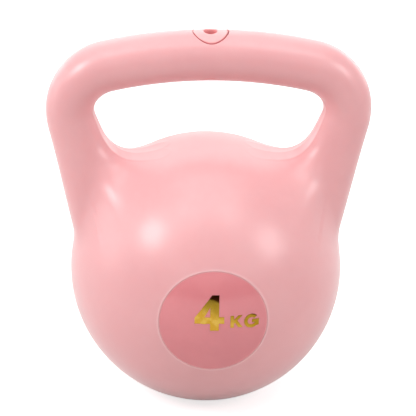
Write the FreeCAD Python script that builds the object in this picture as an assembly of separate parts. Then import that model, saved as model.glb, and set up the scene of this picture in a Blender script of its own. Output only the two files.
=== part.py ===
import FreeCAD, Part
import math
import os
from FreeCAD import Vector

# Moulded vinyl kettlebell: a hollow ball that runs up through two horns into a bowed
# handle, filled through a port in the top of the handle that a bung closes.
# Frame: +Z up, +Y to the back, the badge on the -Y side, origin under the middle of the base.

# ---- driving dimensions, mm ----
ball_radius = 80.0           # outside of the ball
base_radius = 30.0           # flat the kettlebell stands on
wall = 4.0                   # vinyl wall thickness

grip_radius = 14.8           # bar of the handle
leg_radius = 13.7            # top of the horns, measured in the plane of the handle
crown_rise = 133.5           # ball centre to the middle of the bar's section
crown_arc_radius = 265.0     # bow of the bar
crown_arc_half_angle = 12.9  # degrees of bow on each side
corner_radius = 27.6         # centreline bend from the bar into a horn
leg_lean = 15.7              # degrees each horn leans inwards on its way down
leg_length = 95.0            # straight part of a horn's centreline, ending inside the ball
flare_outside = 3.8          # what a horn's section gains by its lower end, away from the window
flare_inside = 10.2          # the same, towards the window
flare_depth = 10.0           # the same, front and back
flare_lead = 10.0            # how far above the straight part of a horn its flare begins
flare_lead_inside = 19.0     # the same, towards the window
horn_squareness = 0.2        # how far a horn's section goes from an ellipse towards a rectangle
outer_blend = 4.0            # small blend where a horn's outside meets the ball
window_blend = 28.0          # large blend inside the hand window

plug_radius = 10.2           # head of the bung
plug_gap = 0.3               # open line round the bung's head
head_depth = 7.0             # crown of the bar to the seat under the bung's head
stem_radius = 6.45           # stem of the bung
stem_clearance = 0.05        # running fit of the stem in its bore
stem_length = 8.0
neck_wall = 2.4              # moulded neck round the counterbore
recess_radius = 4.1          # blind hole in the bung
recess_depth = 8.5
groove_depth = 0.8           # grooves round the stem
groove_width = 1.6

badge_radius = 31.0
badge_gap = 0.3
badge_step = 0.3             # how far the badge's face lies below the ball
badge_thickness = 1.2
film_thickness = 0.15
figure_thickness = 0.2       # gold figures stand this far off the badge

fill_gap = 0.25              # left round the fill so that it doesn't cut the wall

# ---- sizes that follow ----
base_drop = math.sqrt(ball_radius ** 2 - base_radius ** 2)
ball_z = base_drop
crown_z = ball_z + crown_rise + grip_radius
seat_z = crown_z - head_depth
neck_z = seat_z - stem_length
port_radius = plug_radius + plug_gap
bore_radius = stem_radius + stem_clearance
neck_radius = port_radius + neck_wall
window_rise = (ball_radius + crown_rise - grip_radius) / 2.0
bow = math.radians(crown_arc_half_angle)
lean = math.radians(leg_lean)
badge_face = ball_radius - badge_step
badge_back = badge_face - badge_thickness
seat_floor = badge_back - film_thickness

# centreline of half the handle, from the middle of the bar: a bow, a corner, a straight horn
bow_z = crown_rise - crown_arc_radius
corner_x = (crown_arc_radius - corner_radius) * math.sin(bow)
corner_z = bow_z + (crown_arc_radius - corner_radius) * math.cos(bow)
corner_end = math.pi / 2 + lean
leg_x = corner_x + corner_radius * math.sin(corner_end)
leg_z = corner_z + corner_radius * math.cos(corner_end)
bow_run = crown_arc_radius * bow
bend_run = bow_run + corner_radius * (corner_end - bow)


def clamp(value, low, high):
    return min(max(value, low), high)


def ease(value):
    # 0 to 1 with a level start and end
    t = clamp(value, 0.0, 1.0)
    return t * t * (3.0 - 2.0 * t)


def nearest_on_bow(x, z):
    angle = clamp(math.atan2(x, z - bow_z), 0.0, bow)
    px = crown_arc_radius * math.sin(angle)
    pz = bow_z + crown_arc_radius * math.cos(angle)
    outward = math.hypot(x, z - bow_z) - crown_arc_radius
    return math.hypot(x - px, z - pz), outward, crown_arc_radius * angle


def nearest_on_corner(x, z):
    angle = clamp(math.atan2(x - corner_x, z - corner_z), bow, corner_end)
    px = corner_x + corner_radius * math.sin(angle)
    pz = corner_z + corner_radius * math.cos(angle)
    outward = math.hypot(x - corner_x, z - corner_z) - corner_radius
    return math.hypot(x - px, z - pz), outward, bow_run + corner_radius * (angle - bow)


def nearest_on_leg(x, z):
    along = -(x - leg_x) * math.sin(lean) - (z - leg_z) * math.cos(lean)
    along = clamp(along, 0.0, leg_length)
    px = leg_x - along * math.sin(lean)
    pz = leg_z - along * math.cos(lean)
    outward = (x - leg_x) * math.cos(lean) - (z - leg_z) * math.sin(lean)
    return math.hypot(x - px, z - pz), outward, bend_run + along


def handle_distance(x, y, z):
    # distance outside the handle's skin, and the offset from its centreline away from the window
    near, outward, run = min(nearest_on_bow(abs(x), z), nearest_on_corner(abs(x), z),
                             nearest_on_leg(abs(x), z))
    beyond = math.sqrt(max(near * near - outward * outward, 0.0))
    flare = ease((run - bend_run + flare_lead) / leg_length)
    inner_flare = ease((run - bend_run + flare_lead_inside) / leg_length)
    taper = ease((run - bow_run) / (bend_run - bow_run))
    radius = grip_radius + (leg_radius - grip_radius) * taper
    side = radius + (flare * flare_outside if outward > 0.0 else inner_flare * flare_inside)
    depth = radius + flare * flare_depth
    power = 2.0 + horn_squareness * ease((run - bend_run + 15.0) / 30.0)
    total = (abs(outward) / side) ** power + (abs(y) / depth) ** power + (beyond / side) ** power
    return (total ** (1.0 / power) - 1.0) * min(side, depth), outward


def skin_distance(x, y, z):
    # ball and handle run together: a small blend outside, a large one in the window
    ball = math.sqrt(x * x + y * y + z * z) - ball_radius
    handle, outward = handle_distance(x, y, z)
    blend = outer_blend + (window_blend - outer_blend) * ease(0.5 - outward / (2.0 * grip_radius))
    mix = clamp(0.5 + 0.5 * (handle - ball) / blend, 0.0, 1.0)
    return handle * (1.0 - mix) + ball * mix - blend * mix * (1.0 - mix)


def section_points(turn, inset, count):
    # closed section of the skin in the half plane that hangs from the middle of the window
    side = math.sin(turn)
    rise = -math.cos(turn)

    def inside(away, y):
        return skin_distance(side * away, y, window_rise + rise * away) <= -inset

    first = 5.0
    while not inside(first, 0.0):
        first += 0.5
    last = first
    while inside(last, 0.0):
        last += 0.5
    middle = (first + last) / 2.0
    half = []
    for step in range(count // 2 + 1):
        angle = 2.0 * math.pi * step / count
        ca = math.cos(angle)
        sa = math.sin(angle)
        high = 0.0
        while inside(middle + high * ca, high * sa):
            high += 1.5
        low = high - 1.5
        for _ in range(24):
            mid = (low + high) / 2.0
            if inside(middle + mid * ca, mid * sa):
                low = mid
            else:
                high = mid
        half.append((middle + low * ca, low * sa))
    front = [Vector(side * a, y, ball_z + window_rise + rise * a) for a, y in half]
    back = [Vector(v.x, -v.y, v.z) for v in reversed(front[1:-1])]
    return front + back


def closed_curve(points, stations):
    curve = Part.BSplineCurve()
    curve.interpolate(Points=points, PeriodicFlag=True, Parameters=stations)
    return curve


def section_turns(spacing):
    # turns from the bottom of the ball to the middle of the bar, closer where the horns meet the ball
    low = math.radians(32.0)
    high = math.radians(62.0)
    below = max(round(low / spacing), 1)
    at_notch = max(round(2.0 * (high - low) / spacing), 1)
    beyond = max(round((math.pi - high) / spacing), 1)
    turns = [low * i / below for i in range(below)]
    turns += [low + (high - low) * i / at_notch for i in range(at_notch)]
    return turns + [high + (math.pi - high) * i / beyond for i in range(beyond + 1)]


def skin_solid(inset, count, spacing):
    # closed sections all the way round the window, skinned in both directions
    turns = section_turns(spacing)
    right = [section_points(turn, inset, count) for turn in turns]
    left = [[Vector(-v.x, v.y, v.z) for v in section] for section in reversed(right[1:-1])]
    stations = turns + [2.0 * math.pi - turn for turn in reversed(turns[1:-1])] + [2.0 * math.pi]
    around = [i / count for i in range(count + 1)]
    sections = [closed_curve(points, around) for points in right + left]
    rows = [section.getPoles() for section in sections]
    columns = [closed_curve([row[i] for row in rows], stations) for i in range(len(rows[0]))]
    surface = Part.BSplineSurface()
    surface.buildFromPolesMultsKnots([column.getPoles() for column in columns],
                                     sections[0].getMultiplicities(), columns[0].getMultiplicities(),
                                     sections[0].getKnots(), columns[0].getKnots(),
                                     True, True, 3, 3)
    solid = Part.Solid(Part.Shell([surface.toShape()]))
    if solid.Volume < 0.0:
        solid.reverse()
    return solid


def above(height):
    return Part.makeBox(600.0, 600.0, 600.0, Vector(-300.0, -300.0, height))


def upright(radius, low, high):
    return Part.makeCylinder(radius, high - low, Vector(0.0, 0.0, low))


def badge_rod(radius):
    # runs forwards from the ball's centre
    return Part.makeCylinder(radius, ball_radius + 20.0, Vector(0.0, 0.0, ball_z), Vector(0.0, -1.0, 0.0))


def ball_at(radius):
    return Part.makeSphere(radius, Vector(0.0, 0.0, ball_z))


def hollow(inset, neck_gap):
    # the room inside the shell: skin moved in, level floor, and the neck left standing
    room = skin_solid(wall + inset, 16, math.radians(7.5)).common(above(wall))
    return room.cut(upright(neck_radius + neck_gap, neck_z - neck_gap, crown_z + 20.0))


def make_vinyl_shell(outer):
    port = upright(port_radius, seat_z, crown_z + 20.0).fuse(upright(bore_radius, neck_z - 5.0, seat_z + 1.0))
    badge_seat = badge_rod(badge_radius + badge_gap).cut(ball_at(seat_floor))
    return outer.cut(hollow(0.0, 0.0)).cut(port).cut(badge_seat)


def make_filler_bung(outer):
    head = upright(plug_radius, seat_z, crown_z + 20.0).common(outer)
    stem = upright(stem_radius, neck_z, seat_z + 1.0)
    lead = Part.makeCone(stem_radius - 1.2, stem_radius + 0.8, 2.0, Vector(0.0, 0.0, neck_z))
    tip = upright(stem_radius + 1.0, neck_z, neck_z + 2.0).cut(lead)
    bung = head.fuse(stem.cut(tip))
    for groove_z in (neck_z + 2.4, neck_z + 5.0):
        ring = upright(stem_radius + 1.0, groove_z, groove_z + groove_width)
        bung = bung.cut(ring.cut(upright(stem_radius - groove_depth, groove_z, groove_z + groove_width)))
    return bung.cut(upright(recess_radius, crown_z - recess_depth, crown_z + 20.0)).removeSplitter()


def make_sand_fill():
    return hollow(fill_gap, fill_gap)


def make_badge_disc():
    disc = badge_rod(badge_radius).common(ball_at(badge_face))
    return disc.cut(ball_at(badge_back))


def make_badge_film():
    film = badge_rod(badge_radius - 1.0).common(ball_at(badge_back))
    return film.cut(ball_at(seat_floor))


def figure_solid(face):
    # a flat figure drawn in X and Z in front of the ball, laid onto the badge's face
    rod = face.extrude(Vector(0.0, ball_radius, 0.0))
    return rod.common(ball_at(badge_face + figure_thickness)).cut(ball_at(badge_face))


def figure_face(points):
    corners = [Vector(x, -ball_radius - 10.0, ball_z + z) for x, z in points]
    return Part.Face(Part.makePolygon(corners + corners[:1]))


def make_numeral_four():
    # upright stem, level bar and a slanting stroke that close a small window
    left, right = -10.9, 5.9
    foot, top = -3.2, 18.0
    stem_left, stem_right = -2.1, 2.9
    bar_low, bar_high = 1.0, 5.1
    outline = [(stem_left, foot), (stem_right, foot), (stem_right, bar_low), (right, bar_low),
               (right, bar_high), (stem_right, bar_high), (stem_right, top), (stem_left + 1.0, top),
               (left, bar_high - 0.4), (left, bar_low), (stem_left, bar_low)]
    gap = [(stem_left, bar_high), (stem_left, top - 7.0), (left + 5.5, bar_high)]
    return figure_solid(figure_face(outline).cut(figure_face(gap)))


def make_letter_k():
    # upright stroke with two slanting arms
    left, foot, height, width, stroke = 9.5, -1.75, 7.35, 7.0, 2.0
    middle = foot + height / 2.0
    outline = [(left, foot), (left + stroke, foot), (left + stroke, middle - 1.3),
               (left + stroke + 0.6, middle - 0.7), (left + width - 2.5, foot), (left + width, foot),
               (left + stroke + 1.9, middle + 0.7), (left + width - 0.2, foot + height),
               (left + width - 2.6, foot + height), (left + stroke, middle + 1.0),
               (left + stroke, foot + height), (left, foot + height)]
    return figure_solid(figure_face(outline))


def make_letter_g():
    # open ring with a level bar
    cx, cz, radius, stroke = 21.6, 1.5, 4.25, 2.0
    start = Vector(cx, -ball_radius - 10.0, ball_z + cz)
    ahead = Vector(0.0, 1.0, 0.0)
    ring = Part.makeCylinder(radius, ball_radius, start, ahead)
    ring = ring.cut(Part.makeCylinder(radius - stroke, ball_radius, start, ahead))
    mouth = figure_face([(cx, cz + 0.9), (cx + 6.0, cz + 0.9), (cx + 6.0, cz + 3.2), (cx + 2.5, cz + 2.2)])
    ring = ring.cut(mouth.extrude(Vector(0.0, ball_radius, 0.0)))
    bar = figure_face([(cx + 0.3, cz - 1.0), (cx + radius, cz - 1.0), (cx + radius, cz + 0.9),
                       (cx + 0.3, cz + 0.9)])
    foot = figure_face([(cx + radius - stroke, cz - 3.2), (cx + radius, cz - 3.2), (cx + radius, cz + 0.9),
                        (cx + radius - stroke, cz + 0.9)])
    for face in (bar, foot):
        ring = ring.fuse(face.extrude(Vector(0.0, ball_radius, 0.0)))
    ring = ring.removeSplitter()
    return ring.common(ball_at(badge_face + figure_thickness)).cut(ball_at(badge_face))


def save(name, shape):
    if len(shape.Solids) == 1:
        shape = shape.Solids[0]
    shape.exportStep("parts/" + name + ".step")
    box = shape.BoundBox
    print(name, "valid", shape.isValid(), "solids", len(shape.Solids), "mm3", round(shape.Volume),
          "z", round(box.ZMin, 2), round(box.ZMax, 2))


os.makedirs("parts", exist_ok=True)
outer_skin = skin_solid(0.0, 20, math.radians(6.0)).common(above(0.0))
save("vinyl_shell", make_vinyl_shell(outer_skin))
save("filler_bung", make_filler_bung(outer_skin))
save("sand_fill", make_sand_fill())
save("badge_disc", make_badge_disc())
save("badge_film", make_badge_film())
save("numeral_four", make_numeral_four())
save("letter_k", make_letter_k())
save("letter_g", make_letter_g())
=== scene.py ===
import math
import bmesh
import bpy
import numpy as np
from mathutils import Matrix, Vector


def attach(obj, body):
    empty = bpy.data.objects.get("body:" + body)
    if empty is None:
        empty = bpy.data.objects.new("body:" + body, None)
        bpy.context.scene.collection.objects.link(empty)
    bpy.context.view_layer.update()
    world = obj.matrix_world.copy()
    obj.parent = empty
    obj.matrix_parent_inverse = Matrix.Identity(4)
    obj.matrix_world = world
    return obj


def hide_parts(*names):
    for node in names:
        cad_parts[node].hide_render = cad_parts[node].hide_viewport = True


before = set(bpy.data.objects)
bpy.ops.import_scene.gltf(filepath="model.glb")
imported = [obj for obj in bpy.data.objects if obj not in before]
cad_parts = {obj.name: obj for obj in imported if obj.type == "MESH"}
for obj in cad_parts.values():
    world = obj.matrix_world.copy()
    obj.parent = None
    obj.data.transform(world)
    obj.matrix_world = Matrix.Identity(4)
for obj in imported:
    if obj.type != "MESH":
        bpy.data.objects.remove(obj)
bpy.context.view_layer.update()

mm = 0.001
print("stage: frame loaded,", len(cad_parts), "nodes")


def ease(value):
    # 0 to 1 with a level start and end
    t = np.clip(value, 0.0, 1.0)
    return t * t * (3.0 - 2.0 * t)


def meshPiece(name, points, quads, triangles=None, crease=None):
    # points in mm, faces as index arrays; the whole is turned outwards by the sign of its volume
    faces = [np.asarray(quads).reshape(-1, 4)]
    if triangles is not None and len(triangles):
        faces.append(np.asarray(triangles).reshape(-1, 3))
    volume = 0.0
    for block in faces:
        for k in range(1, block.shape[1] - 1):
            a, b, c = points[block[:, 0]], points[block[:, k]], points[block[:, k + 1]]
            volume += np.einsum("ij,ij->i", a, np.cross(b, c)).sum()
    if volume < 0.0:
        faces = [block[:, ::-1] for block in faces]
    used, packed = np.unique(np.concatenate([block.ravel() for block in faces]), return_inverse=True)
    sizes = np.concatenate([np.full(len(block), block.shape[1]) for block in faces])
    mesh = bpy.data.meshes.new(name)
    mesh.vertices.add(len(used))
    mesh.vertices.foreach_set("co", (points[used] * mm).astype(np.float32).ravel())
    mesh.loops.add(len(packed))
    mesh.loops.foreach_set("vertex_index", packed.astype(np.int32))
    mesh.polygons.add(len(sizes))
    mesh.polygons.foreach_set("loop_start", np.concatenate([[0], np.cumsum(sizes)[:-1]]).astype(np.int32))
    mesh.polygons.foreach_set("use_smooth", np.ones(len(sizes), bool))
    mesh.update(calc_edges=True)
    mesh.validate()
    if crease is not None:
        mesh.set_sharp_from_angle(angle=math.radians(crease))
    piece = bpy.data.objects.new(name, mesh)
    bpy.context.scene.collection.objects.link(piece)
    return piece


def gridFaces(rows, columns, wrapRows=False, wrapColumns=False):
    # quads of a grid whose vertex (i, j) has the number i * columns + j
    i = np.arange(rows if wrapRows else rows - 1)
    j = np.arange(columns if wrapColumns else columns - 1)
    i, j = np.meshgrid(i, j, indexing="ij")
    i2, j2 = (i + 1) % rows, (j + 1) % columns
    corners = [i * columns + j, i2 * columns + j, i2 * columns + j2, i * columns + j2]
    return np.stack([c.ravel() for c in corners], -1)


def revolve(profile, count, lift=None):
    # a profile of (radius, height) carried round the upright axis; its two ends lie on the axis
    angle = np.linspace(0.0, 2.0 * math.pi, count, endpoint=False)
    radius, height = np.asarray(profile, float).T
    x = radius[1:-1, None] * np.cos(angle)
    y = radius[1:-1, None] * np.sin(angle)
    z = height[1:-1, None] + 0.0 * x
    ends = np.array([[0.0, 0.0, height[0]], [0.0, 0.0, height[-1]]])
    if lift is not None:
        z = z + lift(x, y, np.arange(1, len(radius) - 1)[:, None])
        ends[:, 2] += lift(np.zeros(2), np.zeros(2), np.array([0, len(radius) - 1]))
    rings = np.stack([x, y, z], -1).reshape(-1, 3)
    points = np.concatenate([rings, ends])
    quads = gridFaces(len(radius) - 2, count, wrapColumns=True)
    k = np.arange(count)
    first, last = len(rings), len(rings) + 1
    base = (len(radius) - 3) * count
    caps = np.concatenate([np.stack([np.full(count, first), k, (k + 1) % count], -1),
                           np.stack([np.full(count, last), base + (k + 1) % count, base + k], -1)])
    return points, quads, caps


class Wire:
    # wraps a socket, so that sums and products of sockets add their Math nodes
    def __init__(self, tree, socket=None):
        self.tree = tree
        self.socket = socket

    def node(self, kind, settings=None, values=None, out=0):
        made = self.tree.nodes.new(kind)
        for key, value in (settings or {}).items():
            setattr(made, key, value)
        for key, value in (values or {}).items():
            if isinstance(value, Wire):
                self.tree.links.new(value.socket, made.inputs[key])
            else:
                made.inputs[key].default_value = value
        return Wire(self.tree, made.outputs[out] if len(made.outputs) else None)

    def math(self, operation, *others):
        return self.node("ShaderNodeMath", {"operation": operation}, dict(enumerate((self,) + others)))

    def __add__(self, other):
        return self.math("ADD", other)

    def __radd__(self, other):
        return self.math("ADD", other)

    def __sub__(self, other):
        return self.math("SUBTRACT", other)

    def __rsub__(self, other):
        return self.node("ShaderNodeMath", {"operation": "SUBTRACT"}, {0: other, 1: self})

    def __mul__(self, other):
        return self.math("MULTIPLY", other)

    def __rmul__(self, other):
        return self.math("MULTIPLY", other)

    def __abs__(self):
        return self.math("ABSOLUTE")

    def between(self, low, high):
        # eased step from 0 at low to 1 at high
        return self.node("ShaderNodeMapRange", {"interpolation_type": "SMOOTHSTEP"},
                         {"Value": self, "From Min": low, "From Max": high})

    def axes(self):
        # the three parts of a position or direction
        return [self.node("ShaderNodeSeparateXYZ", None, {0: self}, out=k) for k in range(3)]


def noise(space, place, size, detail, roughness=0.5):
    # soft noise whose lumps are about size millimetres
    return space.node("ShaderNodeTexNoise", {"noise_dimensions": "3D"},
                      {"Vector": place, "Scale": 1.0 / (size * mm), "Detail": detail,
                       "Roughness": roughness})


def blendColours(space, factor, first, second):
    # the first colour where the factor is 0, the second where it is 1
    return space.node("ShaderNodeMix", {"data_type": "RGBA", "blend_type": "MIX"},
                      {0: factor, 6: first, 7: second}, out=2)


def newMaterial(name):
    # an empty material, its Wire and the object's own coordinates
    material = bpy.data.materials.new(name)
    material.use_nodes = True
    material.node_tree.nodes.clear()
    space = Wire(material.node_tree)
    return material, space, space.node("ShaderNodeTexCoord", out=3)


def finishMaterial(space, values):
    # constants go straight onto the shader's sockets, varying inputs are linked
    shader = space.node("ShaderNodeBsdfPrincipled", None, values)
    space.node("ShaderNodeOutputMaterial", None, {"Surface": shader})


def colour(red, green, blue):
    # display values of 0 to 255 to linear ones
    def linear(value):
        value /= 255.0
        return value / 12.92 if value <= 0.04045 else ((value + 0.055) / 1.055) ** 2.4
    return (linear(red), linear(green), linear(blue), 1.0)


shellForm = {
    "ballRadius": 80.0,
    "baseRadius": 30.0,
    "baseRounding": 1.4,
    "wall": 4.0,
    "gripRadius": 14.8,
    "legRadius": 13.7,
    "crownRise": 133.5,
    "crownArcRadius": 265.0,
    "crownArcHalfAngle": 12.9,
    "cornerRadius": 27.6,
    "legLean": 15.7,
    "legLength": 95.0,
    "flareOutside": 3.8,
    "flareInside": 10.2,
    "flareDepth": 10.0,
    "flareLead": 10.0,
    "flareLeadInside": 19.0,
    "hornSquareness": 0.2,
    "outerBlend": 4.0,
    "windowBlend": 28.0,
    "turnCount": 368,        # stations round the window and round each section
    "roundCount": 208,
    "roomTurns": 180,        # the same for the hollow
    "roomRounds": 96,
    "searchReach": 130.0,    # how far the rays look for the skin
    "keelSlope": 0.19,       # draft of the moulded band inside the hand window
    "keelFrom": (0.55, 0.35),  # turn from straight down where the band begins, and how gently
    "keelTo": (2.25, 0.45),  # and where it has ended, below the bar
    "keelRounding": 0.30,
    "keelFade": 3.0,         # how far that band sinks back where it ends
    "beadHeight": 0.20,      # soft bead where the band meets the round
    "beadWidth": 0.25,
}
portForm = {
    "mouthRadius": 10.5,
    "lip": 0.55,
    "seatDepth": 7.0,
    "boreRadius": 6.5,
    "boreLength": 8.0,
    "neckWall": 2.4,
}
seatForm = {
    "radius": 31.02,
    "lip": 0.22,
    "bead": 0.10,
    "beadWidth": 1.6,
    "depth": 1.65,
}

ballRadius = shellForm["ballRadius"]
ballHeight = math.sqrt(ballRadius ** 2 - shellForm["baseRadius"] ** 2)
crownHeight = ballHeight + shellForm["crownRise"] + shellForm["gripRadius"]
windowRise = (ballRadius + shellForm["crownRise"] - shellForm["gripRadius"]) / 2.0
bow = math.radians(shellForm["crownArcHalfAngle"])
lean = math.radians(shellForm["legLean"])
bowCentre = shellForm["crownRise"] - shellForm["crownArcRadius"]
cornerX = (shellForm["crownArcRadius"] - shellForm["cornerRadius"]) * math.sin(bow)
cornerZ = bowCentre + (shellForm["crownArcRadius"] - shellForm["cornerRadius"]) * math.cos(bow)
cornerEnd = math.pi / 2.0 + lean
legX = cornerX + shellForm["cornerRadius"] * math.sin(cornerEnd)
legZ = cornerZ + shellForm["cornerRadius"] * math.cos(cornerEnd)
bowRun = shellForm["crownArcRadius"] * bow
bendRun = bowRun + shellForm["cornerRadius"] * (cornerEnd - bow)


def nearestOnHandle(x, z):
    # distance to the centreline, offset from it away from the window, and run along it from its middle
    x = np.abs(x)
    arc, bend = shellForm["crownArcRadius"], shellForm["cornerRadius"]
    angle = np.clip(np.arctan2(x, z - bowCentre), 0.0, bow)
    near1 = np.hypot(x - arc * np.sin(angle), z - bowCentre - arc * np.cos(angle))
    out1, run1 = np.hypot(x, z - bowCentre) - arc, arc * angle
    angle = np.clip(np.arctan2(x - cornerX, z - cornerZ), bow, cornerEnd)
    near2 = np.hypot(x - cornerX - bend * np.sin(angle), z - cornerZ - bend * np.cos(angle))
    out2, run2 = np.hypot(x - cornerX, z - cornerZ) - bend, bowRun + bend * (angle - bow)
    along = -(x - legX) * math.sin(lean) - (z - legZ) * math.cos(lean)
    along = np.clip(along, 0.0, shellForm["legLength"])
    near3 = np.hypot(x - legX + along * math.sin(lean), z - legZ + along * math.cos(lean))
    out3 = (x - legX) * math.cos(lean) - (z - legZ) * math.sin(lean)
    run3 = bendRun + along
    pick = np.argmin(np.stack([near1, near2, near3]), 0)
    near = np.choose(pick, [near1, near2, near3])
    return near, np.choose(pick, [out1, out2, out3]), np.choose(pick, [run1, run2, run3])


def skinDistance(x, y, z):
    # ball and handle run together: a tube whose section swells towards its foot, joined to the
    # ball with a small blend outside and a large one in the window; z counts from the ball's centre
    near, outward, run = nearestOnHandle(x, z)
    beyond = np.sqrt(np.maximum(near ** 2 - outward ** 2, 0.0))
    flare = ease((run - bendRun + shellForm["flareLead"]) / shellForm["legLength"])
    innerFlare = ease((run - bendRun + shellForm["flareLeadInside"]) / shellForm["legLength"])
    taper = ease((run - bowRun) / (bendRun - bowRun))
    radius = shellForm["gripRadius"] + (shellForm["legRadius"] - shellForm["gripRadius"]) * taper
    side = radius + np.where(outward > 0.0, flare * shellForm["flareOutside"],
                             innerFlare * shellForm["flareInside"])
    depth = radius + flare * shellForm["flareDepth"]
    power = 2.0 + shellForm["hornSquareness"] * ease((run - bendRun + 15.0) / 30.0)
    total = (np.abs(outward) / side) ** power + (np.abs(y) / depth) ** power + (beyond / side) ** power
    handle = (total ** (1.0 / power) - 1.0) * np.minimum(side, depth)
    ball = np.sqrt(x * x + y * y + z * z) - ballRadius
    small = shellForm["outerBlend"]
    blend = small + (shellForm["windowBlend"] - small) * ease(0.5 - outward / (2.0 * shellForm["gripRadius"]))
    mix = np.clip(0.5 + 0.5 * (handle - ball) / blend, 0.0, 1.0)
    return handle * (1.0 - mix) + ball * mix - blend * mix * (1.0 - mix)


def sectionSpan(turn, inset):
    # where the half plane through the middle of the window enters and leaves the skin, at y = 0
    away = np.linspace(2.0, 230.0, 1200)
    x = np.sin(turn)[:, None] * away
    z = windowRise - np.cos(turn)[:, None] * away
    inside = skinDistance(x, 0.0, z) <= -inset
    first = inside.argmax(1)
    after = inside.copy()
    after[np.arange(len(away))[None, :] < first[:, None]] = True
    last = (~after).argmax(1)
    low, high = away[first - 1], away[first]
    for _ in range(20):
        mid = (low + high) / 2.0
        hit = skinDistance(np.sin(turn) * mid, 0.0, windowRise - np.cos(turn) * mid) <= -inset
        high, low = np.where(hit, mid, high), np.where(hit, low, mid)
    return high, away[last]


def skinPoints(turn, angle, inset=0.0, keel=False):
    # rays from the middle of each section out to the skin, found by halving
    flat = np.linspace(0.0, math.pi, 721)
    first, last = sectionSpan(flat, inset)
    folded = np.abs((turn + math.pi) % (2.0 * math.pi) - math.pi)
    inner = np.interp(folded, flat, first)
    middle = np.interp(folded, flat, (first + last) / 2.0)
    (begin, rising), (end, falling) = shellForm["keelFrom"], shellForm["keelTo"]
    strength = ease((folded - begin) / rising) * ease((end - folded) / falling)
    inner, middle, strength, folded, angle = np.broadcast_arrays(inner, middle, strength, folded, angle)
    ca, sa = np.cos(angle), np.sin(angle)
    side, rise = np.sin(folded), -np.cos(folded)
    low = np.zeros(angle.shape)
    # inward rays stop short of the window's axis
    reach = shellForm["searchReach"]
    high = np.where(ca < -0.05, np.minimum(reach, 0.995 * middle / np.maximum(-ca, 0.05)), reach)
    for _ in range(24):
        mid = (low + high) / 2.0
        away, y = middle + mid * ca, mid * sa
        gap = skinDistance(side * away, y, windowRise + rise * away) + inset
        if keel:
            # a band with draft on each side of the parting plane, eased into the round, and its bead
            slope, soft = shellForm["keelSlope"], shellForm["keelRounding"]
            band = inner - shellForm["keelFade"] * (1.0 - strength) - away
            band = band + slope * (np.sqrt(y * y + soft * soft) - soft)
            mix = np.clip(0.5 + 0.5 * (gap - band) / soft, 0.0, 1.0)
            bead = np.exp(-((gap - band) / shellForm["beadWidth"]) ** 2) * ease(-ca * 2.0) * strength
            gap = gap * mix + band * (1.0 - mix) + soft * mix * (1.0 - mix)
            gap = gap - shellForm["beadHeight"] * bead
        hit = gap <= 0.0
        low, high = np.where(hit, mid, low), np.where(hit, high, mid)
    mid = (low + high) / 2.0
    away = middle + mid * ca
    x = np.sign(np.sin(turn)) * side * away
    return np.stack(np.broadcast_arrays(x, mid * sa, ballHeight + windowRise + rise * away), -1)


def spread(count, weight):
    # count stations round a full turn, closer together where weight is large
    fine = np.linspace(0.0, 2.0 * math.pi, 4001)
    total = np.concatenate([[0.0], np.cumsum((weight(fine[1:]) + weight(fine[:-1])) / 2.0)])
    return np.interp(np.arange(count) / count * total[-1], total, fine)


def turnWeight(turn):
    # stations crowd where the window's lower corners bend, and along the handle
    folded = np.abs((turn + math.pi) % (2.0 * math.pi) - math.pi)
    return 1.0 + 1.6 * np.exp(-((folded - 0.80) / 0.16) ** 2) + 0.5 * ease((folded - 1.0) / 0.5)


def roundWeight(angle):
    # stations crowd on the window's side and the far side of each section
    return 1.0 + 1.3 * np.cos(angle) ** 2


def patchLoop(rowFrom, rowTo, columnFrom, columnTo, rows, columns):
    # the grid vertices round a window of the grid, in order
    i = np.arange(rowFrom, rowTo)
    j = np.arange(columnFrom, columnTo)
    loop = [np.stack([i, np.full(len(i), columnFrom)], -1), np.stack([np.full(len(j), rowTo), j], -1),
            np.stack([i[::-1] + 1, np.full(len(i), columnTo)], -1),
            np.stack([np.full(len(j), rowFrom), j[::-1] + 1], -1)]
    loop = np.concatenate(loop)
    return (loop[:, 0] % rows) * columns + loop[:, 1] % columns


def insideWindow(quadRows, quadColumns, rowFrom, rowTo, columnFrom, columnTo, rows, columns):
    i = (quadRows - rowFrom) % rows
    j = (quadColumns - columnFrom) % columns
    return (i < rowTo - rowFrom) & (j < columnTo - columnFrom)


def ringsInto(points, loop, rings):
    # joins a loop of vertices to rings of new ones, and the last ring to a middle vertex
    count = len(loop)
    rows = [loop] + [len(points) + count * k + np.arange(count) for k in range(len(rings))]
    quads = []
    for outer, inner in zip(rows[:-1], rows[1:]):
        quads.append(np.stack([outer, np.roll(outer, -1), np.roll(inner, -1), inner], -1))
    middle = len(points) + count * len(rings)
    fan = np.stack([rows[-1], np.roll(rows[-1], -1), np.full(count, middle)], -1)
    points = np.concatenate([points] + list(rings) + [rings[-1].mean(0)[None]])
    return points, np.concatenate(quads), fan


def quarterRound(count):
    # unit steps across and down a quarter circle, from level to upright
    t = np.linspace(0.0, math.pi / 2.0, count)
    return np.sin(t), 1.0 - np.cos(t)


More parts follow.
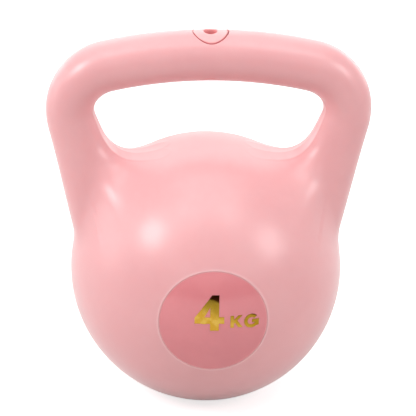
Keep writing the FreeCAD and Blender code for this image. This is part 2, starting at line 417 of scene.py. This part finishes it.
def makeShell():
    # the skin as a grid, with the badge seat and the port let into windows of it
    rows, columns = shellForm["turnCount"], shellForm["roundCount"]
    turns, rounds = spread(rows, turnWeight), spread(columns, roundWeight)
    points = skinPoints(turns[:, None], rounds[None, :], keel=True).reshape(-1, 3)
    soft = shellForm["baseRounding"]
    z = points[:, 2]
    points[:, 2] = np.where(z < -soft, 0.0, np.where(z > soft, z, (z + soft) ** 2 / (4.0 * soft)))
    quads = gridFaces(rows, columns, True, True)
    quadRows, quadColumns = np.repeat(np.arange(rows), columns), np.tile(np.arange(columns), rows)

    # badge seat: rings on the ball from the grid's window to a circle, then bead, lip, wall and floor
    reach = seatForm["radius"] + seatForm["lip"] + seatForm["beadWidth"] + 2.0
    halfTurn = math.atan2(reach, windowRise) * 1.12
    rowTo = int(np.searchsorted(turns, halfTurn))
    rowFrom = -rowTo
    halfRound = math.asin(reach / ballRadius) * 1.04
    columnFrom = int(np.searchsorted(rounds, 1.5 * math.pi - halfRound)) - 1
    columnTo = int(np.searchsorted(rounds, 1.5 * math.pi + halfRound))
    badgeWindow = (rowFrom, rowTo, columnFrom, columnTo)
    keep = ~insideWindow(quadRows, quadColumns, *badgeWindow, rows, columns)
    loop = patchLoop(*badgeWindow, rows, columns)
    centre = np.array([0.0, 0.0, ballHeight])
    edge = points[loop] - centre
    around = np.arctan2(edge[:, 2], edge[:, 0])

    def onBall(radius, rise):
        depth = np.sqrt((ballRadius + rise) ** 2 - radius ** 2)
        across, up = radius * np.cos(around), radius * np.sin(around)
        return centre + np.stack([across, np.full(len(around), -depth), up], -1)

    rings = []
    outer = seatForm["radius"] + seatForm["lip"] + seatForm["beadWidth"]
    target = onBall(outer, 0.0) - centre
    for t in np.linspace(0.0, 1.0, 9)[1:]:
        part = edge * (1.0 - t) + target * t
        rings.append(centre + part / np.linalg.norm(part, axis=1)[:, None] * ballRadius)
    for t in np.linspace(0.0, 1.0, 7)[1:]:
        rings.append(onBall(outer - seatForm["beadWidth"] * t, seatForm["bead"] * float(ease(t))))
    across, down = quarterRound(7)
    for a, d in zip(across[1:], down[1:]):
        radius = seatForm["radius"] + seatForm["lip"] * (1.0 - a)
        rings.append(onBall(radius, seatForm["bead"] - seatForm["lip"] * d))
    rings.append(onBall(seatForm["radius"], -seatForm["depth"] + 0.25))
    for radius in (seatForm["radius"] - 0.25, 29.0, 22.0, 14.0, 6.0):
        rings.append(onBall(radius, -seatForm["depth"]))
    points, badgeQuads, badgeFan = ringsInto(points, loop, rings)

    # port: rings on the bar to a circle, then lip, wall, seat and bore down into the hollow
    grip, arc = shellForm["gripRadius"], shellForm["crownArcRadius"]

    def onBar(x, y):
        high = np.sqrt((arc + np.sqrt(np.maximum(grip ** 2 - y ** 2, 0.0))) ** 2 - x ** 2)
        return ballHeight + bowCentre + high

    reach = portForm["mouthRadius"] + portForm["lip"]
    halfTurn = math.atan2(reach + 2.6, crownHeight - ballHeight - windowRise)
    middle = int(np.searchsorted(turns, math.pi))
    half = int(np.searchsorted(turns, math.pi + halfTurn)) - middle
    halfRound = math.asin(reach / grip) + 0.20
    column = int(np.searchsorted(rounds, halfRound))
    portWindow = (middle - half, middle + half, -column, column)
    keep &= ~insideWindow(quadRows, quadColumns, *portWindow, rows, columns)
    loop = patchLoop(*portWindow, rows, columns)
    edge = points[loop]
    edgeUnrolled = grip * np.arcsin(np.clip(edge[:, 1] / grip, -1.0, 1.0))
    around = np.arctan2(edgeUnrolled, edge[:, 0])

    def onMouth(radius, drop):
        x, y = radius * np.cos(around), radius * np.sin(around)
        return np.stack([x, y, onBar(x, y) - drop], -1)

    def level(radius, height):
        x, y = radius * np.cos(around), radius * np.sin(around)
        return np.stack([x, y, np.full(len(around), height)], -1)

    rings = []
    circle = onMouth(reach, 0.0)
    circleUnrolled = grip * np.arcsin(circle[:, 1] / grip)
    for t in np.linspace(0.0, 1.0, 7)[1:]:
        x = edge[:, 0] * (1.0 - t) + circle[:, 0] * t
        y = grip * np.sin((edgeUnrolled * (1.0 - t) + circleUnrolled * t) / grip)
        rings.append(np.stack([x, y, onBar(x, y)], -1))
    across, down = quarterRound(7)
    for a, d in zip(across[1:], down[1:]):
        rings.append(onMouth(portForm["mouthRadius"] + portForm["lip"] * (1.0 - a), portForm["lip"] * d))
    mouth, bore = portForm["mouthRadius"], portForm["boreRadius"]
    seat = crownHeight - portForm["seatDepth"]
    foot = seat - portForm["boreLength"] - 1.0
    rings += [level(mouth, seat + 0.3), level(mouth - 0.3, seat), level(bore + 0.4, seat),
              level(bore, seat - 0.4), level(bore, foot), level(bore * 0.4, foot)]
    points, portQuads, portFan = ringsInto(points, loop, rings)
    return meshPiece("vinylShell", points, np.concatenate([quads[keep], badgeQuads, portQuads]),
                     np.concatenate([badgeFan, portFan]))


def applyModifiers(piece):
    # the piece's modifiers worked into its mesh
    graph = bpy.context.evaluated_depsgraph_get()
    mesh = bpy.data.meshes.new_from_object(piece.evaluated_get(graph))
    old = piece.data
    piece.modifiers.clear()
    piece.data = mesh
    mesh.name = piece.name
    bpy.data.meshes.remove(old)


def hollowOut(shell):
    # the room inside, with a level floor, less the neck that hangs under the port
    rows, columns = shellForm["roomTurns"], shellForm["roomRounds"]
    turns = np.arange(rows) / rows * 2.0 * math.pi
    rounds = np.arange(columns) / columns * 2.0 * math.pi
    points = skinPoints(turns[:, None], rounds[None, :], inset=shellForm["wall"]).reshape(-1, 3)
    points[:, 2] = np.maximum(points[:, 2], shellForm["wall"])
    room = meshPiece("roomInside", points, gridFaces(rows, columns, True, True))
    neckRadius = portForm["mouthRadius"] + portForm["neckWall"]
    low = crownHeight - portForm["seatDepth"] - portForm["boreLength"]
    profile = [(0.0, low), (neckRadius - 0.6, low), (neckRadius - 0.2, low + 0.2), (neckRadius, low + 0.6),
               (neckRadius, crownHeight + 5.0), (0.0, crownHeight + 5.0)]
    neck = meshPiece("neckCore", *revolve(profile, 96))
    for piece, other in ((room, neck), (shell, room)):
        cut = piece.modifiers.new("cut", "BOOLEAN")
        cut.operation = "DIFFERENCE"
        cut.solver = "MANIFOLD"
        cut.object = other
        applyModifiers(piece)
        bpy.data.objects.remove(other)


shell = makeShell()
print("stage: skin", len(shell.data.polygons), "faces")
hollowOut(shell)
print("stage: hollow", len(shell.data.polygons), "faces")
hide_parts("vinyl_shell")
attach(shell, "kettlebell")


bungForm = {
    "radius": 9.9,
    "offset": (-0.2, 0.12),  # the pressed-in head sits a hair out of true
    "rounding": 0.45,
    "recessRadius": 4.1,
    "recessDepth": 8.5,
    "recessLip": 0.5,
    "stemRadius": 6.45,
    "grooveDepth": 0.8,
    "grooveWidth": 1.6,
    "grooveSlope": 0.4,
    "grooveStarts": (1.4, 4.0),  # below the seat
    "sides": 160,
}


def makeBung():
    # one profile from the floor of the recess out over the head, down the side and along the stem;
    # the rows that follow the bar's skin are marked with 1
    seat = crownHeight - portForm["seatDepth"]
    tip = seat - portForm["boreLength"]
    floor = crownHeight - bungForm["recessDepth"]
    lip, rounding = bungForm["recessLip"], bungForm["rounding"]
    recess, radius, stem = bungForm["recessRadius"], bungForm["radius"], bungForm["stemRadius"]
    groove = stem - bungForm["grooveDepth"]
    across, down = quarterRound(6)
    profile = [(0.0, floor), (recess - 0.8, floor), (recess - 0.3, floor + 0.15), (recess, floor + 0.7),
               (recess, crownHeight - lip - 1.6), (recess, crownHeight - lip)]
    follow = [0.0, 0.0, 0.0, 0.0, 0.0, 1.0]
    for a, d in zip(across[:-1][::-1], down[:-1][::-1]):
        profile.append((recess + lip * (1.0 - a), crownHeight - lip * d))
        follow.append(1.0)
    for step in np.linspace(0.0, 1.0, 9)[1:]:
        profile.append((recess + lip + (radius - rounding - recess - lip) * step, crownHeight))
        follow.append(1.0)
    for a, d in zip(across[1:], down[1:]):
        profile.append((radius - rounding * (1.0 - a), crownHeight - rounding * d))
        follow.append(1.0)
    under = [(radius, seat + 0.4), (radius - 0.4, seat), (stem + 0.2, seat), (stem, seat - 0.2)]
    width, slope = bungForm["grooveWidth"], bungForm["grooveSlope"]
    for below in bungForm["grooveStarts"]:
        start = seat - below
        under += [(stem, start), (groove, start - slope)]
        under += [(groove, start - width + slope), (stem, start - width)]
    under += [(stem, tip + 1.8), (stem - 1.2, tip + 0.1), (stem - 1.6, tip), (0.0, tip)]
    profile += under
    follow += [0.0] * len(under)
    follow = np.array(follow)
    grip, arc = shellForm["gripRadius"], shellForm["crownArcRadius"]

    def saddle(x, y, row):
        # how far the bar's skin lies below its crown at x and y
        high = np.sqrt((arc + np.sqrt(grip ** 2 - y ** 2)) ** 2 - x ** 2)
        return follow[row] * (ballHeight + bowCentre + high - crownHeight)

    points, quads, caps = revolve(profile, bungForm["sides"], saddle)
    lean = ease((points[:, 2] - seat) / (crownHeight - seat))
    points[:, 0] += bungForm["offset"][0] * lean
    points[:, 1] += bungForm["offset"][1] * lean
    return meshPiece("fillerBung", points, quads, caps, crease=38.0)


bung = makeBung()
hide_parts("filler_bung")
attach(bung, "bung")
print("stage: bung", len(bung.data.polygons), "faces")


badgeForm = {
    "radius": 31.0,
    "step": 0.3,             # its face lies this far below the ball
    "thickness": 1.2,
    "rounding": 0.12,
    "sides": 192,
}


def makeBadge():
    # a thin lens between two spheres about the ball's centre, with a rounded rim
    front = ballRadius - badgeForm["step"]
    back = front - badgeForm["thickness"]
    radius, rounding = badgeForm["radius"], badgeForm["rounding"]
    across, down = quarterRound(6)
    rows = [(0.0, front)]
    rows += [(r, front) for r in np.linspace(0.0, radius - rounding, 26)[1:]]
    rows += [(radius - rounding * (1.0 - a), front - rounding * d) for a, d in zip(across[1:], down[1:])]
    rows += [(radius, back + 0.25), (radius - 0.25, back)]
    rows += [(r, back) for r in (25.0, 15.0, 6.0, 0.0)]
    profile = [(r, math.sqrt(s * s - r * r)) for r, s in rows]
    points, quads, caps = revolve(profile, badgeForm["sides"])
    # the profile's axis is laid from upright to forwards
    points = np.stack([points[:, 0], -points[:, 2], points[:, 1] + ballHeight], -1)
    return meshPiece("badgeDisc", points, quads, caps, crease=50.0)


badge = makeBadge()
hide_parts("badge_disc")
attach(badge, "kettlebell")


figureForm = {
    "thickness": 0.2,
    "bevel": 0.07,
    "cell": 1.2,
}
fourForm = {
    "left": -10.9,
    "right": 5.9,
    "foot": -3.2,
    "top": 18.0,
    "stemLeft": -2.1,
    "stemRight": 2.9,
    "barLow": 1.0,
    "barHigh": 5.1,
    "slantTop": 1.0,         # the slant starts this far right of the stem's left side
    "slantFoot": 0.4,        # and ends this far below the bar's top
    "windowTop": 7.0,        # the small window's corners, from the top and from the left
    "windowLeft": 5.5,
}
letterKForm = {
    "left": 9.5,
    "foot": -1.75,
    "height": 7.35,
    "width": 7.0,
    "stroke": 2.0,
    "lowNotch": 1.3,         # where the leg and the arm leave the stem, from its middle
    "highNotch": 1.0,
    "waist": (0.6, 0.7),
    "knee": (1.9, 0.7),
    "legWidth": 2.5,
    "armEnds": (2.6, 0.2),
}
letterGForm = {
    "centreX": 21.6,
    "centreZ": 1.5,
    "radius": 4.25,
    "stroke": 2.0,
    "tip": (3.3, 3.1),       # the direction in which the ring starts
    "ends": (312.0, 305.0),  # degrees at which its outer and inner sides end
    "sideFoot": -2.9,
    "barTop": 0.9,
    "barFoot": -1.0,
    "barLeft": 0.3,
}


def fourOutline():
    # stem, level bar and slanting stroke, and the small window that they close
    f = fourForm
    left, right, foot, top = f["left"], f["right"], f["foot"], f["top"]
    stemLeft, stemRight, low, high = f["stemLeft"], f["stemRight"], f["barLow"], f["barHigh"]
    outline = [(stemLeft, foot), (stemRight, foot), (stemRight, low), (right, low), (right, high),
               (stemRight, high), (stemRight, top), (stemLeft + f["slantTop"], top),
               (left, high - f["slantFoot"]), (left, low), (stemLeft, low)]
    window = [(stemLeft, high), (stemLeft, top - f["windowTop"]), (left + f["windowLeft"], high)]
    return [outline, window]


def letterKOutline():
    # up the stem's right side, round the leg and the arm, and back down its left side
    f = letterKForm
    left, foot, right, top = f["left"], f["foot"], f["left"] + f["width"], f["foot"] + f["height"]
    stem, middle = left + f["stroke"], foot + f["height"] / 2.0
    waist, knee, armEnds = f["waist"], f["knee"], f["armEnds"]
    return [[(left, foot), (stem, foot), (stem, middle - f["lowNotch"]),
             (stem + waist[0], middle - waist[1]), (right - f["legWidth"], foot), (right, foot),
             (stem + knee[0], middle + knee[1]), (right - armEnds[1], top), (right - armEnds[0], top),
             (stem, middle + f["highNotch"]), (stem, top), (left, top)]]


def letterGOutline():
    # an open ring, counted round from its upper tip to the level bar
    f = letterGForm
    radius, inner = f["radius"], f["radius"] - f["stroke"]
    start = math.atan2(f["tip"][1], f["tip"][0])
    outerEnd, innerEnd = (math.radians(a) for a in f["ends"])
    outside = [(radius * math.cos(t), radius * math.sin(t)) for t in np.linspace(start, outerEnd, 36)]
    inside = [(inner * math.cos(t), inner * math.sin(t)) for t in np.linspace(innerEnd, start, 30)]
    bar = [(radius, f["sideFoot"]), (radius, f["barTop"]), (f["barLeft"], f["barTop"]),
           (f["barLeft"], f["barFoot"]), (inner, f["barFoot"])]
    return [[(x + f["centreX"], z + f["centreZ"]) for x, z in outside + bar + inside]]


def figurePiece(name, loops):
    # the flat outline is filled and cut into small cells, then laid on the badge and thickened
    curve = bpy.data.curves.new(name, "CURVE")
    curve.dimensions = "2D"
    curve.fill_mode = "BOTH"
    for loop in loops:
        spline = curve.splines.new("POLY")
        spline.points.add(len(loop) - 1)
        spline.points.foreach_set("co", np.array([(x, z, 0.0, 1.0) for x, z in loop], float).ravel())
        spline.use_cyclic_u = True
    holder = bpy.data.objects.new(name, curve)
    bpy.context.scene.collection.objects.link(holder)
    graph = bpy.context.evaluated_depsgraph_get()
    flat = bpy.data.meshes.new_from_object(holder.evaluated_get(graph))
    bpy.data.objects.remove(holder)
    work = bmesh.new()
    work.from_mesh(flat)
    bmesh.ops.remove_doubles(work, verts=work.verts, dist=1e-4)
    low = np.array([v.co[:2] for v in work.verts]).min(0)
    high = np.array([v.co[:2] for v in work.verts]).max(0)
    for axis in (0, 1):
        for place in np.arange(low[axis] + figureForm["cell"], high[axis], figureForm["cell"]):
            normal = np.eye(3)[axis]
            geometry = work.verts[:] + work.edges[:] + work.faces[:]
            bmesh.ops.bisect_plane(work, geom=geometry, dist=1e-5, plane_co=normal * place, plane_no=normal)
    bmesh.ops.recalc_face_normals(work, faces=work.faces)
    work.to_mesh(flat)
    work.free()
    plane = np.empty(len(flat.vertices) * 3)
    flat.vertices.foreach_get("co", plane)
    plane = plane.reshape(-1, 3)
    face = ballRadius - badgeForm["step"]
    x, z = plane[:, 0], plane[:, 1]
    # the back face lies on the badge, the front face one thickness further out
    laid = np.stack([x, -np.sqrt(face ** 2 - x ** 2 - z ** 2), z], -1)
    flat.vertices.foreach_set("co", ((laid + [0.0, 0.0, ballHeight]) * mm).ravel())
    flat.update()
    normals = np.empty(len(flat.polygons) * 3)
    flat.polygons.foreach_get("normal", normals)
    if normals.reshape(-1, 3)[:, 1].sum() > 0.0:
        flat.flip_normals()
    piece = bpy.data.objects.new(name, flat)
    bpy.context.scene.collection.objects.link(piece)
    thick = piece.modifiers.new("thickness", "SOLIDIFY")
    thick.thickness = figureForm["thickness"] * mm
    thick.offset = 1.0
    edge = piece.modifiers.new("edge", "BEVEL")
    edge.width = figureForm["bevel"] * mm
    edge.segments = 2
    edge.limit_method = "ANGLE"
    edge.angle_limit = math.radians(50.0)
    applyModifiers(piece)
    piece.data.polygons.foreach_set("use_smooth", np.ones(len(piece.data.polygons), bool))
    piece.data.set_sharp_from_angle(angle=math.radians(40.0))
    return piece


figures = {}
for name, node, outline in (("numeralFour", "numeral_four", fourOutline),
                            ("letterK", "letter_k", letterKOutline),
                            ("letterG", "letter_g", letterGOutline)):
    figures[name] = figurePiece(name, outline())
    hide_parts(node)
    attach(figures[name], "kettlebell")
print("stage: badge and figures")


vinylLook = {
    "colour": colour(227, 169, 171),
    "deep": colour(223, 161, 164),
    # pale is a painted highlight on the lip round the badge's seat
    "pale": colour(246, 206, 206),  # round the badge's seat
    # shade is painted shade in the port's gap and down the bung's recess
    "shade": colour(214, 104, 110),  # in the gap of the port and down the bung's recess
    "roughness": 0.33,
    "grain": 0.5,            # size of the moulded grain, mm
    "cloud": 38.0,           # and of the drifting tone, the mottle and the scuffs
    "mottle": 6.0,
    "scuff": 14.0,
    "seam": 0.45,            # half width of the parting line, mm
}
bungLook = dict(vinylLook, colour=colour(243, 178, 178))
badgeLook = {
    "colour": colour(220, 136, 141),
    "deep": colour(214, 130, 136),
    # rim is a painted highlight along the badge's edge
    "rim": colour(238, 172, 174),
    "rimWidth": 0.9,         # mm of paler edge
    "roughness": 0.10,
}
goldLook = {
    "colour": (0.66, 0.40, 0.045, 1.0),
    "pale": (0.76, 0.52, 0.10, 1.0),
    # olive and dark are a painted reflection of dark surroundings, laid over the foil's own colour
    "reflectedOlive": (0.34, 0.22, 0.012, 1.0),
    "dark": (0.075, 0.017, 0.004, 1.0),
    "slant": 0.44,           # the darkening runs down to the right by this slope
    "oliveFrom": 3.0,        # mm above the badge's middle along that slant
    "oliveTo": 11.0,
    "darkFrom": 14.3,
    "darkTo": 16.0,
    "roughness": 0.14,
}
sandLook = {
    "grains": 1100.0,        # grains to a metre
    "dark": colour(70, 62, 56),
    "light": colour(134, 122, 110),
    "damp": colour(84, 70, 58),
}
filmLook = {
    "fibre": 1.2,
    "light": colour(206, 203, 196),
    "dark": colour(186, 182, 174),
}


def satinVinyl(name, look, isShell):
    # drifting pinks under a fine grain and soft scuffs, with painted shade, a deeper redder pink, in the
    # port's gap and the recess
    material, space, place = newMaterial(name)
    x, y, z = place.axes()
    cloud = noise(space, place, look["cloud"], 3.0)
    mottle = noise(space, place, look["mottle"], 2.0)
    grain = noise(space, place, look["grain"], 2.0, 0.6)
    scuff = noise(space, place, look["scuff"], 6.0, 0.7).between(0.60, 0.78)
    tone = (cloud * 0.75 + mottle * 0.25).between(0.35, 0.65)
    base = blendColours(space, tone * 0.55, look["colour"], look["deep"])
    # depth below the bar's skin, for places near the port's axis
    grip = shellForm["gripRadius"] * mm
    skin = (grip * grip - y * y).math("MAXIMUM", 0.0).math("SQRT") + (crownHeight * mm - grip)
    depth = skin - z
    away = (x * x + y * y).math("SQRT")
    recess, mouth = bungForm["recessRadius"] * mm, portForm["mouthRadius"] * mm
    # painted shade: hole and cleft mark the bung's recess and the port's gap, which take the shade colour
    hole = (1.0 - away.between(recess - 0.1 * mm, recess + 0.5 * mm)) * depth.between(0.2 * mm, 3.6 * mm)
    cleft = away.between(mouth - 1.0 * mm, mouth - 0.6 * mm)
    cleft = cleft * (1.0 - away.between(mouth + 0.05 * mm, mouth + 0.2 * mm))
    shaded = (hole + cleft * depth.between(0.1 * mm, 0.8 * mm)).math("MINIMUM", 1.0) * z.between(0.19, 0.20)
    base = blendColours(space, shaded * 0.9, base, look["shade"])
    height = grain * 0.012 + mottle * 0.03
    if isShell:
        # a paler rim round the badge's seat, a painted highlight on its lip, and the parting line of the
        # mould at y = 0
        rise = z - ballHeight * mm
        far = (x * x + rise * rise).math("SQRT")
        inner, outer = seatForm["radius"] * mm, (seatForm["radius"] + seatForm["beadWidth"]) * mm
        ring = (1.0 - far.between(inner + 0.4 * mm, outer)) * far.between(inner - 0.4 * mm, inner)
        base = blendColours(space, ring * y.between(-0.05, -0.06) * 0.3, base, look["pale"])
        height = height + (1.0 - abs(y).between(0.0, look["seam"] * mm)) * 0.05
    roughness = look["roughness"] + mottle * 0.06 - 0.03 + scuff * 0.05
    normal = space.node("ShaderNodeBump", None, {"Strength": 0.35, "Distance": 0.001, "Height": height})
    finishMaterial(space, {"Base Color": base, "Roughness": roughness, "Normal": normal,
                           "Subsurface Weight": 0.25, "Subsurface Radius": (1.0, 0.45, 0.4),
                           "Subsurface Scale": 0.004, "IOR": 1.6, "Sheen Weight": 0.70,
                           "Sheen Roughness": 0.35})
    return material


def glossyBadge(name, look):
    # a smooth lacquered disc with slow waves in it and a paler, duller rim, whose paler colour is a painted
    # highlight along its edge
    material, space, place = newMaterial(name)
    x, y, z = place.axes()
    cloud = noise(space, place, 16.0, 3.0)
    fine = noise(space, place, 2.2, 2.0)
    base = blendColours(space, cloud.between(0.35, 0.65) * 0.6, look["colour"], look["deep"])
    rise = z - ballHeight * mm
    away = (x * x + rise * rise).math("SQRT")
    edge = badgeForm["radius"] * mm
    # painted highlight: the disc is paler towards its edge
    rim = away.between(edge - look["rimWidth"] * mm, edge - 0.2 * mm)
    base = blendColours(space, rim * 0.8, base, look["rim"])
    roughness = look["roughness"] + fine * 0.05 + rim * 0.15
    normal = space.node("ShaderNodeBump", None, {"Strength": 0.2, "Distance": 0.001,
                                                  "Height": cloud * 0.15 + fine * 0.01})
    finishMaterial(space, {"Base Color": base, "Roughness": roughness, "Normal": normal,
                           "Subsurface Weight": 0.15, "Subsurface Radius": (1.0, 0.4, 0.4),
                           "Subsurface Scale": 0.002, "IOR": 1.5, "Coat Weight": 0.35,
                           "Coat Roughness": 0.05})
    return material


def goldFoil(name, look):
    # stamped foil with a painted reflection that turns it olive and then dark brown towards the top, along a
    # slant
    material, space, place = newMaterial(name)
    x, y, z = place.axes()
    cloud = noise(space, place, 5.0, 2.0)
    fine = noise(space, place, 0.5, 2.0)
    base = blendColours(space, cloud.between(0.4, 0.65), look["colour"], look["pale"])
    # painted reflection: olive and then dark brown above a slanting line
    height = z - ballHeight * mm + x * look["slant"] + (cloud - 0.5) * (2.0 * mm)
    reflectedOlive = height.between(look["oliveFrom"] * mm, look["oliveTo"] * mm) * 0.75
    base = blendColours(space, reflectedOlive, base, look["reflectedOlive"])
    dark = height.between(look["darkFrom"] * mm, look["darkTo"] * mm)
    base = blendColours(space, dark, base, look["dark"])
    normal = space.node("ShaderNodeBump", None, {"Strength": 0.25, "Distance": 0.001,
                                                  "Height": cloud * 0.05 + fine * 0.006})
    finishMaterial(space, {"Base Color": base, "Roughness": look["roughness"] + fine * 0.08,
                           "Metallic": 1.0, "Normal": normal})
    return material


def packedSand(name, look):
    # loose grains as small cells, with darker damp patches
    material, space, place = newMaterial(name)
    cells = {"Vector": place, "Scale": look["grains"]}
    grains = space.node("ShaderNodeTexVoronoi", None, cells)
    cloud = noise(space, place, 12.0, 4.0)
    tone = blendColours(space, grains.between(0.1, 0.6), look["dark"], look["light"])
    tone = blendColours(space, cloud * 0.5, tone, look["damp"])
    normal = space.node("ShaderNodeBump", None, {"Strength": 0.8, "Distance": 0.001, "Height": grains * 0.6})
    finishMaterial(space, {"Base Color": tone, "Roughness": 0.85 + cloud * 0.1, "Normal": normal})
    return material


def adhesiveFilm(name, look):
    # a dull fibrous film
    material, space, place = newMaterial(name)
    fibre = noise(space, place, look["fibre"], 4.0)
    tone = blendColours(space, fibre, look["light"], look["dark"])
    normal = space.node("ShaderNodeBump", None, {"Strength": 0.3, "Distance": 0.001, "Height": fibre * 0.05})
    finishMaterial(space, {"Base Color": tone, "Roughness": 0.5 + fibre * 0.2, "Normal": normal})
    return material


def dress(piece, material):
    piece.data.materials.clear()
    piece.data.materials.append(material)


dress(shell, satinVinyl("satinVinyl", vinylLook, True))
dress(bung, satinVinyl("bungVinyl", bungLook, False))
dress(badge, glossyBadge("badgeGloss", badgeLook))
gold = goldFoil("goldFoil", goldLook)
for figure in figures.values():
    dress(figure, gold)


def redress(node, material):
    # a CAD node that stays gets its material in each of its slots
    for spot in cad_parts[node].material_slots:
        spot.material = material


redress("sand_fill", packedSand("packedSand", sandLook))
redress("badge_film", adhesiveFilm("adhesiveFilm", filmLook))
print("stage: materials")


studio = {
    "floorSize": 3.2,        # metres
    "floorTones": ((0.60, 0.60, 0.60, 1.0), (0.62, 0.62, 0.62, 1.0)),
    "glow": 0.70,            # light that the seen floor gives off, which softens the shadow
    "thrown": (0.64, 0.6144, 0.608, 1.0),  # the floor as the object is lit by it
    "room": (1.0, 0.94, 0.935, 1.0),
    "front": 0.56,           # brightness of the room in front of the object and above it
    "behind": 1.40,          # and low behind it
    "horizon": 0.85,         # how far it darkens low in front
}
# each light's azimuth from the front, elevation, distance, sides in metres and power in watts
softBoxes = {
    "leftLight": {"azimuth": -64.0, "elevation": 38.0, "away": 1.3, "sides": (0.40, 0.40), "power": 5.8},
    "rightLight": {"azimuth": 62.0, "elevation": 30.0, "away": 1.3, "sides": (0.42, 0.42), "power": 3.8},
    "topLight": {"azimuth": 0.0, "elevation": 84.0, "away": 1.4, "sides": (1.1, 1.1), "power": 5.4},
    "upperLeft": {"azimuth": -40.0, "elevation": 62.0, "away": 1.4, "sides": (0.50, 0.50), "power": 1.6},
    "upperRight": {"azimuth": 40.0, "elevation": 62.0, "away": 1.4, "sides": (0.50, 0.50), "power": 1.8},
    "sideLeft": {"azimuth": -92.0, "elevation": 12.0, "away": 1.4, "sides": (0.60, 0.60), "power": 2.3},
    "backLeft": {"azimuth": -140.0, "elevation": 12.0, "away": 1.4, "sides": (0.70, 0.70), "power": 1.7},
    "backRight": {"azimuth": 140.0, "elevation": 12.0, "away": 1.4, "sides": (0.70, 0.70), "power": 2.0},
    "backLight": {"azimuth": 178.0, "elevation": 47.0, "away": 1.6, "sides": (1.6, 0.9), "power": 6.0},
}
viewForm = {
    "azimuth": -3.8,
    "elevation": 25.25,
    "distance": 1500.0,
    "roll": 1.24,
    "across": 416.0,         # the view's width is counted as this many steps
    "scale": 1.681,          # steps for a millimetre at the ball's centre
    "offset": (2.3, 57.43),  # the view's middle from the ball's centre, in steps
    "sensor": 36.0,
}


def directionFrom(azimuth, elevation):
    # azimuth is counted from the front towards the right, in radians
    level = math.cos(elevation)
    return Vector((math.sin(azimuth) * level, -math.cos(azimuth) * level, math.sin(elevation)))


def softBox(name, form, aim):
    # an area light that faces the aim
    lamp = bpy.data.lights.new(name, "AREA")
    lamp.shape = "RECTANGLE"
    lamp.size, lamp.size_y = form["sides"]
    lamp.energy = form["power"]
    holder = bpy.data.objects.new(name, lamp)
    bpy.context.scene.collection.objects.link(holder)
    toward = directionFrom(math.radians(form["azimuth"]), math.radians(form["elevation"]))
    holder.location = aim + toward * form["away"]
    holder.rotation_euler = toward.to_track_quat("Z", "Y").to_euler()


def makeFloor():
    # one wide level sheet, just under the object; the camera sees a pale one that glows a little,
    # and the object is lit by a plain diffuse one
    count, drop = 25, 0.02
    line = np.linspace(-0.5, 0.5, count) * studio["floorSize"] / mm
    x, y = np.meshgrid(line, line, indexing="ij")
    points = np.stack([x, y, 0.0 * x - drop], -1).reshape(-1, 3)
    quads = gridFaces(count, count)
    mesh = bpy.data.meshes.new("studioFloor")
    mesh.from_pydata((points * mm).tolist(), [], quads.tolist())
    floor = bpy.data.objects.new("studioFloor", mesh)
    bpy.context.scene.collection.objects.link(floor)
    material, space, place = newMaterial("paleFloor")
    cloud = noise(space, place, 400.0, 2.0)
    tone = blendColours(space, cloud, *studio["floorTones"])
    seen = space.node("ShaderNodeBsdfPrincipled", None, {
        "Base Color": tone, "Roughness": 0.9, "Specular IOR Level": 0.1,
        "Emission Color": (1.0, 1.0, 1.0, 1.0), "Emission Strength": studio["glow"]})
    thrown = space.node("ShaderNodeBsdfDiffuse", None, {"Color": studio["thrown"]})
    lookedAt = space.node("ShaderNodeLightPath")
    mixed = space.node("ShaderNodeMixShader", None, {0: lookedAt, 1: thrown, 2: seen})
    space.node("ShaderNodeOutputMaterial", None, {"Surface": mixed})
    mesh.materials.append(material)


def makeWorld():
    # a soft room: brighter low behind the object, darker near the horizon in front
    world = bpy.data.worlds.new("studioWorld")
    bpy.context.scene.world = world
    world.use_nodes = True
    world.node_tree.nodes.clear()
    space = Wire(world.node_tree)
    _, back, rise = space.node("ShaderNodeTexCoord").axes()
    glow = back.between(-0.2, 0.9) * (1.0 - rise.between(0.1, 0.8))
    strength = studio["front"] + glow * (studio["behind"] - studio["front"])
    ahead = back.between(-0.55, -0.80) * (1.0 - abs(rise).between(0.10, 0.24))
    strength = strength * (1.0 - ahead * studio["horizon"])
    light = space.node("ShaderNodeBackground", None, {"Color": studio["room"], "Strength": strength})
    space.node("ShaderNodeOutputWorld", None, {"Surface": light})


def makeCamera(aim):
    # reach is the distance in steps of the view
    azimuth, elevation, roll = (math.radians(viewForm[k]) for k in ("azimuth", "elevation", "roll"))
    back = directionFrom(azimuth, elevation)
    right = Vector((math.cos(azimuth), math.sin(azimuth), 0.0))
    up = back.cross(right)
    across = right * math.cos(roll) + up * math.sin(roll)
    upward = up * math.cos(roll) - right * math.sin(roll)
    reach = viewForm["scale"] * viewForm["distance"]
    # the view is turned a little so that the ball's centre falls where it should, with no shift
    offset = viewForm["offset"]
    forward = (-back * reach + across * offset[0] + upward * offset[1]).normalized()
    side = forward.cross(upward).normalized()
    level = side.cross(forward)
    camera = bpy.data.cameras.new("camera")
    camera.sensor_width = viewForm["sensor"]
    camera.lens = reach * viewForm["sensor"] / viewForm["across"]
    camera.clip_start, camera.clip_end = 0.05, 30.0
    holder = bpy.data.objects.new("camera", camera)
    bpy.context.scene.collection.objects.link(holder)
    turn = Matrix((side, level, -forward)).transposed().to_4x4()
    holder.matrix_world = Matrix.Translation(aim + back * viewForm["distance"] * mm) @ turn
    bpy.context.scene.camera = holder


ballCentre = Vector((0.0, 0.0, ballHeight * mm))
makeFloor()
makeWorld()
for name, form in softBoxes.items():
    softBox(name, form, ballCentre)
makeCamera(ballCentre)
bpy.context.scene.view_settings.view_transform = "Standard"
print("stage: studio")
